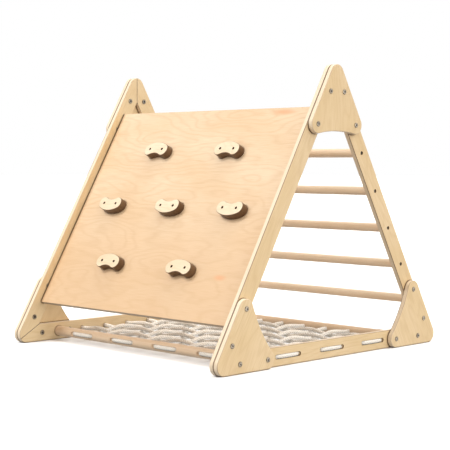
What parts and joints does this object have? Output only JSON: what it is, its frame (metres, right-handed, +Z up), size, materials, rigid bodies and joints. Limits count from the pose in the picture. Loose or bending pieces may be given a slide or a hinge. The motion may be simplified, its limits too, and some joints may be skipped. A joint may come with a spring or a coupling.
{
  "type": "climbing triangle",
  "caption": "Toddler climbing triangle: plywood end frames, a sloped climbing panel with arched holds, a rung ladder and a laced rope net.",
  "frame": {"origin": "on the floor at the middle of the footprint, half way between the two end frames", "axes": "+Z up, the climbing panel faces -Y, the ladder faces +Y, the rungs run along X"},
  "size_m": [0.8968, 0.959, 0.838],
  "materials": {
    "birch_plywood": "clear-oiled birch plywood, sanded and rounded edges with the layers showing",
    "panel_plywood": "clear-oiled birch plywood with a flat face grain running across",
    "beech": "oiled turned beech",
    "cotton_rope": "braided off-white cotton rope",
    "zinc_steel": "bright zinc-plated steel"
  },
  "bodies": {
    "root": {"left_front_leg": "birch_plywood", "left_rear_leg": "birch_plywood", "left_base_rail": "birch_plywood", "right_front_leg": "birch_plywood", "right_rear_leg": "birch_plywood", "right_base_rail": "birch_plywood", "left_top_gusset": "birch_plywood", "left_front_gusset": "birch_plywood", "left_rear_gusset": "birch_plywood", "right_top_gusset": "birch_plywood", "right_front_gusset": "birch_plywood", "right_rear_gusset": "birch_plywood", "left_panel_cleat": "birch_plywood", "right_panel_cleat": "birch_plywood", "hold_1": "birch_plywood", "hold_2": "birch_plywood", "hold_3": "birch_plywood", "hold_4": "birch_plywood", "hold_5": "birch_plywood", "hold_6": "birch_plywood", "hold_7": "birch_plywood", "climbing_panel": "panel_plywood", "rung_1": "beech", "rung_2": "beech", "rung_3": "beech", "rung_4": "beech", "rung_5": "beech", "front_net_dowel": "beech", "rear_net_dowel": "beech", "crosswise_rope": "cotton_rope", "lengthwise_rope": "cotton_rope", "rope_knots": "cotton_rope", "gusset_bolts": "zinc_steel", "gusset_sleeve_nuts": "zinc_steel", "rung_and_dowel_bolts": "zinc_steel", "rung_and_dowel_inserts": "zinc_steel", "hold_bolts": "zinc_steel", "hold_t_nuts": "zinc_steel", "panel_screws": "zinc_steel", "cleat_screws": "zinc_steel"}
  },
  "joints": []
}
